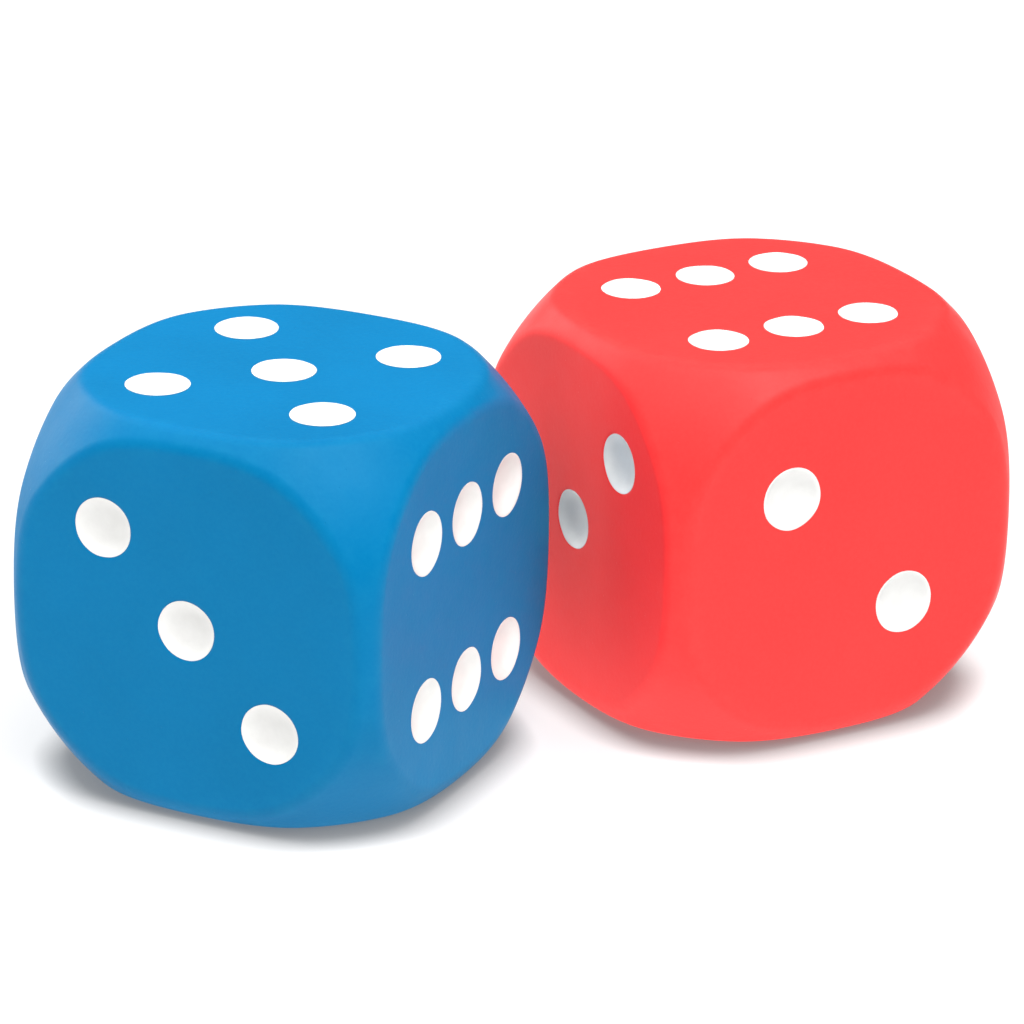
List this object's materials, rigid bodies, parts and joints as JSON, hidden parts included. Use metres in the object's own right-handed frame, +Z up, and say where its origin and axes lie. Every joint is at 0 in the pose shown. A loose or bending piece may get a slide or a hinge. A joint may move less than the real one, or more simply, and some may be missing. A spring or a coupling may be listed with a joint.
{
  "type": "giant yard dice",
  "caption": "Pair of giant soft dice, cubes with ball-cut corners, a smooth coloured skin over foam and round dished white pips.",
  "frame": {"origin": "bottom centre of the box that holds both dice as they stand side by side, on the surface they rest on", "axes": "+Z up; X and Y run square to the blue die's side faces, with the red die behind and to the right of the blue one (+Y and +X), turned 35 degrees clockwise seen from above"},
  "size_m": [0.2498, 0.2748, 0.127],
  "materials": {
    "blue_skin": "satin",
    "red_skin": "satin",
    "pip_white": "matte",
    "foam": "matte"
  },
  "bodies": {
    "blue_die": {"blue_foam_core": "foam", "blue_skin": "blue_skin", "blue_one_pip_1": "pip_white", "blue_two_pip_1": "pip_white", "blue_two_pip_2": "pip_white", "blue_three_pip_1": "pip_white", "blue_three_pip_2": "pip_white", "blue_three_pip_3": "pip_white", "blue_four_pip_1": "pip_white", "blue_four_pip_2": "pip_white", "blue_four_pip_3": "pip_white", "blue_four_pip_4": "pip_white", "blue_five_pip_1": "pip_white", "blue_five_pip_2": "pip_white", "blue_five_pip_3": "pip_white", "blue_five_pip_4": "pip_white", "blue_five_pip_5": "pip_white", "blue_six_pip_1": "pip_white", "blue_six_pip_2": "pip_white", "blue_six_pip_3": "pip_white", "blue_six_pip_4": "pip_white", "blue_six_pip_5": "pip_white", "blue_six_pip_6": "pip_white"},
    "red_die": {"red_foam_core": "foam", "red_skin": "red_skin", "red_one_pip_1": "pip_white", "red_two_pip_1": "pip_white", "red_two_pip_2": "pip_white", "red_three_pip_1": "pip_white", "red_three_pip_2": "pip_white", "red_three_pip_3": "pip_white", "red_four_pip_1": "pip_white", "red_four_pip_2": "pip_white", "red_four_pip_3": "pip_white", "red_four_pip_4": "pip_white", "red_five_pip_1": "pip_white", "red_five_pip_2": "pip_white", "red_five_pip_3": "pip_white", "red_five_pip_4": "pip_white", "red_five_pip_5": "pip_white", "red_six_pip_1": "pip_white", "red_six_pip_2": "pip_white", "red_six_pip_3": "pip_white", "red_six_pip_4": "pip_white", "red_six_pip_5": "pip_white", "red_six_pip_6": "pip_white"}
  },
  "joints": [
    {"name": "red_die_lift", "type": "slide", "parent": "blue_die", "child": "red_die", "axis": [0, 0, 1], "range_m": [0, 0.16]}
  ]
}
